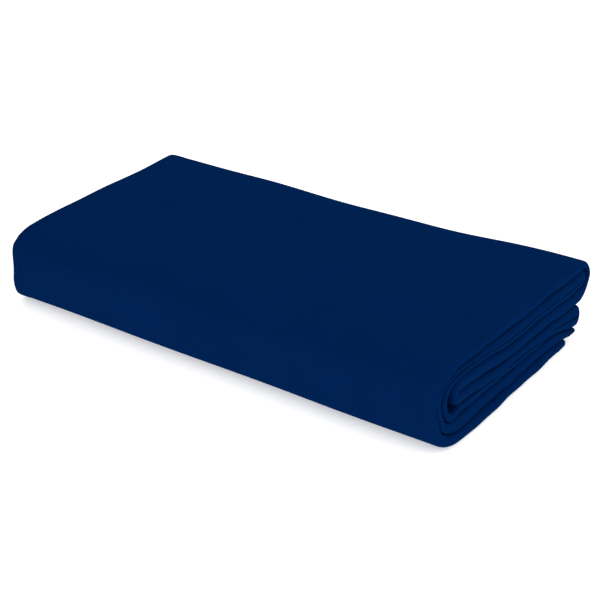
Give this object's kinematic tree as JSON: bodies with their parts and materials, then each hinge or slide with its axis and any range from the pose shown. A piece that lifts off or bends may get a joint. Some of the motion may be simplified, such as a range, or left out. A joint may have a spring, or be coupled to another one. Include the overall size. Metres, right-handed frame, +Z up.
{
  "type": "folded bath towel",
  "caption": "Smooth plain towel folded into a flat rectangular stack, its nested folds along the front and rounded double layers showing at one end",
  "frame": {"origin": "centre of the stack's bounding box on the plane that it lies on", "axes": "+X along the folds to the end where the round double layers show, +Y to the back, away from the nested folds, +Z up"},
  "size_m": [0.35, 0.1894, 0.0515],
  "materials": {
    "cloth": "matt fine-pile navy towelling",
    "hem": "matt turned and stitched navy towelling"
  },
  "bodies": {
    "lowest_leaf": {"layer_1": "cloth", "side_hem_1": "hem", "end_hem_1": "hem", "front_fold_1_8": "cloth"},
    "second_leaf": {"layer_2": "cloth", "side_hem_2": "hem", "end_hem_2": "hem", "front_fold_2_7": "cloth"},
    "third_leaf": {"layer_3": "cloth", "layer_4": "cloth", "side_hem_3": "hem", "side_hem_4": "hem", "back_fold_3_4": "cloth", "front_fold_3_6": "cloth", "front_fold_4_5": "cloth"},
    "upper_half": {"layer_5": "cloth", "layer_6": "cloth", "layer_7": "cloth", "layer_8": "cloth", "side_hem_5": "hem", "side_hem_6": "hem", "side_hem_7": "hem", "side_hem_8": "hem", "back_fold_5_8": "cloth", "back_fold_6_7": "cloth"}
  },
  "joints": [
    {"name": "second_leaf_lifts", "type": "hinge", "parent": "lowest_leaf", "child": "second_leaf", "pos_m": [0, -0.0765, 0.02575], "axis": [1, 0, 0], "range_deg": [0, 10], "deforming": ["front_fold_1_8"]},
    {"name": "third_leaf_lifts", "type": "hinge", "parent": "second_leaf", "child": "third_leaf", "pos_m": [0, -0.0765, 0.02575], "axis": [1, 0, 0], "range_deg": [0, 10], "deforming": ["front_fold_2_7"]},
    {"name": "upper_half_opens", "type": "hinge", "parent": "third_leaf", "child": "upper_half", "pos_m": [0, -0.0765, 0.02575], "axis": [1, 0, 0], "range_deg": [0, 160], "deforming": ["front_fold_3_6", "front_fold_4_5"]}
  ]
}
